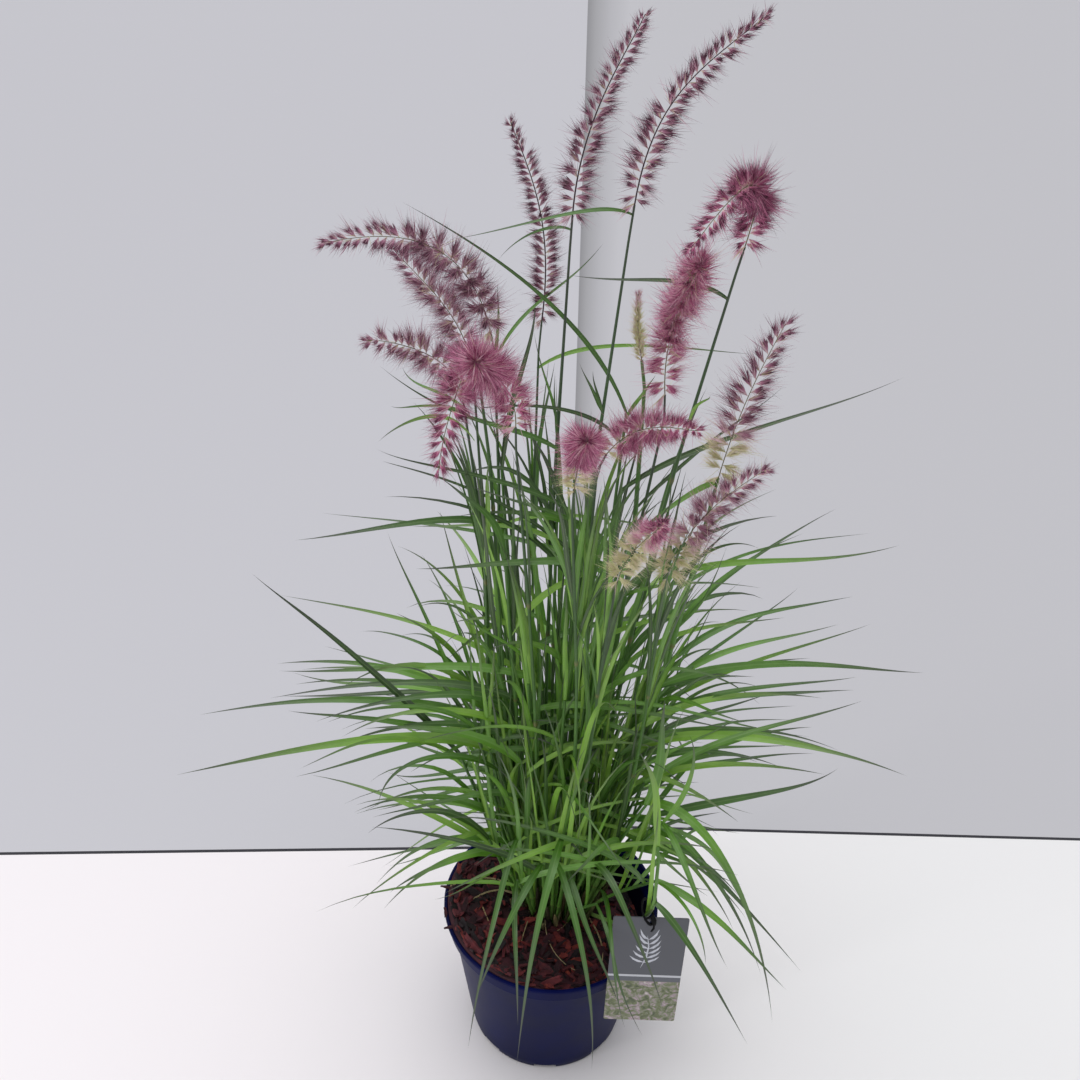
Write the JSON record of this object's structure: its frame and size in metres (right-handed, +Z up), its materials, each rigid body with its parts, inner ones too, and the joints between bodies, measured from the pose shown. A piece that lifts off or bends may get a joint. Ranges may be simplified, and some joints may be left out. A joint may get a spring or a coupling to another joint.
{
  "type": "potted fountain grass",
  "caption": "Clump of fountain grass with arching blades and fuzzy mauve flower heads in a round navy nursery pot with bark mulch and a blank-faced hang tag.",
  "frame": {"origin": "centre of the pot's flat underside, which stands on the ground", "axes": "+Z up; the picture's view looks along +Y, tilted down, with +X to the right"},
  "size_m": [0.545, 0.375, 0.8628],
  "materials": {
    "pot_plastic": "satin moulded polypropylene, navy",
    "compost": "crumbly damp compost",
    "bark": "rough damp reddish-brown bark chips",
    "grass": "fresh green leaf blades with a fine lengthwise grain",
    "flower_head": "soft bristly mauve-pink spikelets",
    "young_head": "soft yellow-green young spikelets",
    "tag_card": "printed plastic card, slate grey panel over a mottled green field",
    "tie_cord": "matt black plastic loop"
  },
  "bodies": {
    "root": {"pot": "pot_plastic", "potting_soil": "compost", "bark_mulch": "bark", "grass_clump": "grass", "plant_tag": "tag_card", "tag_tie": "tie_cord", "head_back_centre": "flower_head", "head_tallest_right": "flower_head", "head_back_left": "flower_head", "head_left_arch": "flower_head", "head_left_back_slant": "flower_head", "head_left_short": "flower_head", "head_left_front": "flower_head", "head_left_nodding": "flower_head", "head_right_nodding": "flower_head", "head_right_magenta": "flower_head", "head_young_spike": "young_head", "head_right_slant": "flower_head", "head_front_centre": "flower_head", "head_front_right": "flower_head", "head_low_right": "flower_head", "head_low_front": "flower_head"}
  },
  "joints": []
}
